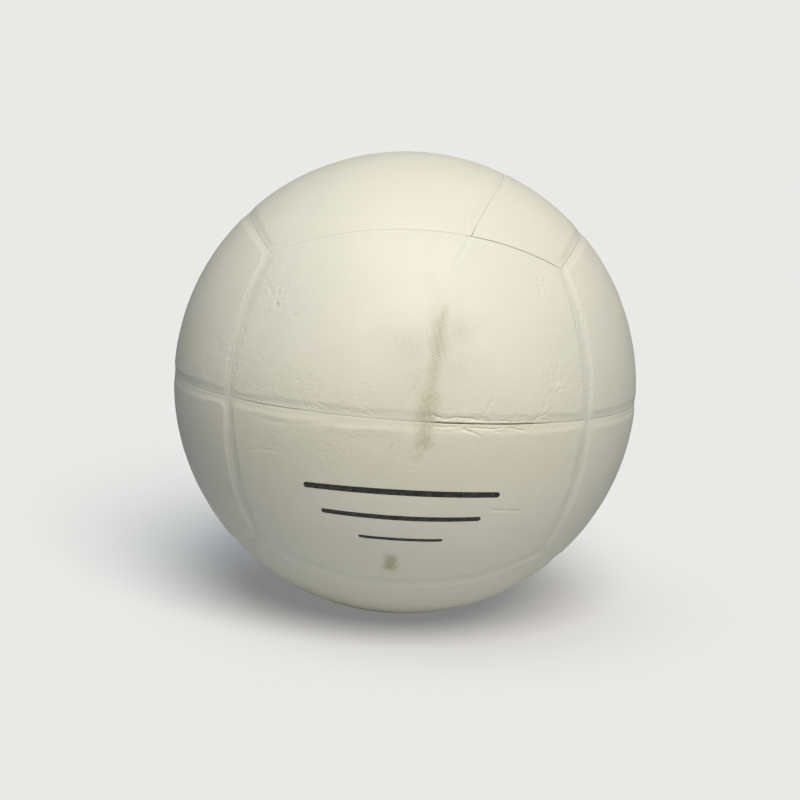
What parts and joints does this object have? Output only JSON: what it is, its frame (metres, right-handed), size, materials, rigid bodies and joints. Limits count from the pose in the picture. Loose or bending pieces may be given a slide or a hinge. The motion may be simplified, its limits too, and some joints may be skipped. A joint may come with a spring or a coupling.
{
  "type": "volleyball",
  "caption": "Worn ivory laminated ball with wide foam-backed leather panels laid out on cube faces, pressed V seams, wound carcass, bladder and needle valve.",
  "frame": {"origin": "centre of the ball", "axes": "+Z out through the valve, -Y to the front face with the equatorial seam, +X to the right of that face"},
  "size_m": [0.2098, 0.2098, 0.2099],
  "materials": {
    "ivory_leather": "matt, grained, worn and creased",
    "foam": "matt closed-cell foam",
    "natural_rubber": "matt",
    "nylon_thread": "wound thread, slight sheen",
    "butyl_rubber": "matt",
    "valve_rubber": "matt"
  },
  "bodies": {
    "root": {"bladder": "butyl_rubber", "thread_winding": "nylon_thread", "rubber_lining": "natural_rubber", "valve_patch": "butyl_rubber", "valve_body": "valve_rubber", "valve_core": "valve_rubber", "front_upper_skin": "ivory_leather", "front_lower_skin": "ivory_leather", "right_upper_skin": "ivory_leather", "right_lower_skin": "ivory_leather", "back_upper_skin": "ivory_leather", "back_lower_skin": "ivory_leather", "left_upper_skin": "ivory_leather", "left_lower_skin": "ivory_leather", "top_main_skin": "ivory_leather", "top_side_skin": "ivory_leather", "bottom_main_skin": "ivory_leather", "bottom_side_skin": "ivory_leather", "front_upper_foam": "foam", "front_lower_foam": "foam", "right_upper_foam": "foam", "right_lower_foam": "foam", "back_upper_foam": "foam", "back_lower_foam": "foam", "left_upper_foam": "foam", "left_lower_foam": "foam", "top_main_foam": "foam", "top_side_foam": "foam", "bottom_main_foam": "foam", "bottom_side_foam": "foam"}
  },
  "joints": []
}
